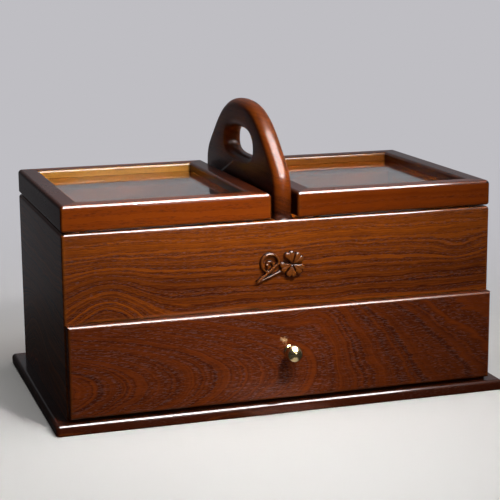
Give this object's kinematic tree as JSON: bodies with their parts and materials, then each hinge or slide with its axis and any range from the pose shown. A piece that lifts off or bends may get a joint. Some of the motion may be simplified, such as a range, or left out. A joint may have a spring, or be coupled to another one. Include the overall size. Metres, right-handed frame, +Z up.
{
  "type": "sewing box",
  "caption": "Wooden sewing box with glazed hinged lids over open compartments, a full-width drawer with a ball knob below and a shaped carrying handle between the lids.",
  "frame": {"origin": "on the ground under the middle of the case, halfway between its side panels and between its front and back panels", "axes": "+X along the width to the right as seen from the front, +Y to the back where the hinges are, +Z up"},
  "size_m": [0.35, 0.2195, 0.2231],
  "materials": {
    "stained_wood": "semi-gloss lacquer over dark brown stain, open grain",
    "lid_wood": "semi-gloss lacquer over red-brown stain",
    "inner_wood": "sanded and sealed pale wood",
    "clear_glass": "clear polished sheet",
    "brass": "polished and lacquered",
    "screw_steel": "zinc plated",
    "felt": "dense dark felt"
  },
  "bodies": {
    "case": {"base_board": "stained_wood", "base_screws": "screw_steel", "left_side_panel": "stained_wood", "right_side_panel": "stained_wood", "back_panel": "stained_wood", "front_panel": "stained_wood", "compartment_shelf": "inner_wood", "left_shelf_rail": "inner_wood", "right_shelf_rail": "inner_wood", "left_wear_strip": "inner_wood", "right_wear_strip": "inner_wood", "handle_board": "stained_wood", "handle_screws": "screw_steel", "long_divider": "inner_wood", "cross_divider": "inner_wood", "lid_felt_pads": "felt", "left_hinge_case_leaves": "brass", "left_hinge_pins": "brass", "left_hinge_case_screws": "brass", "right_hinge_case_leaves": "brass", "right_hinge_pins": "brass", "right_hinge_case_screws": "brass", "clover": "stained_wood", "tendril": "stained_wood"},
    "left_lid": {"left_lid_front_rail": "lid_wood", "left_lid_back_rail": "lid_wood", "left_lid_outer_rail": "lid_wood", "left_lid_inner_rail": "lid_wood", "left_lid_glass": "clear_glass", "left_glazing_beads": "lid_wood", "left_hinge_lid_leaves": "brass", "left_hinge_lid_screws": "brass"},
    "right_lid": {"right_lid_front_rail": "lid_wood", "right_lid_back_rail": "lid_wood", "right_lid_outer_rail": "lid_wood", "right_lid_inner_rail": "lid_wood", "right_lid_glass": "clear_glass", "right_glazing_beads": "lid_wood", "right_hinge_lid_leaves": "brass", "right_hinge_lid_screws": "brass"},
    "drawer": {"drawer_front": "stained_wood", "drawer_inner_front": "inner_wood", "drawer_left_side": "inner_wood", "drawer_right_side": "inner_wood", "drawer_back": "inner_wood", "drawer_bottom": "inner_wood", "drawer_knob": "brass", "knob_screw": "screw_steel", "drawer_front_screws": "screw_steel"}
  },
  "joints": [
    {"name": "left_lid_hinge", "type": "hinge", "parent": "case", "child": "left_lid", "pos_m": [-0.0875, 0.0943, 0.144], "axis": [-1, 0, 0], "range_deg": [0, 100]},
    {"name": "right_lid_hinge", "type": "hinge", "parent": "case", "child": "right_lid", "pos_m": [0.0875, 0.0943, 0.144], "axis": [-1, 0, 0], "range_deg": [0, 100]},
    {"name": "drawer_slide", "type": "slide", "parent": "case", "child": "drawer", "axis": [0, -1, 0], "range_m": [0, 0.14]}
  ]
}
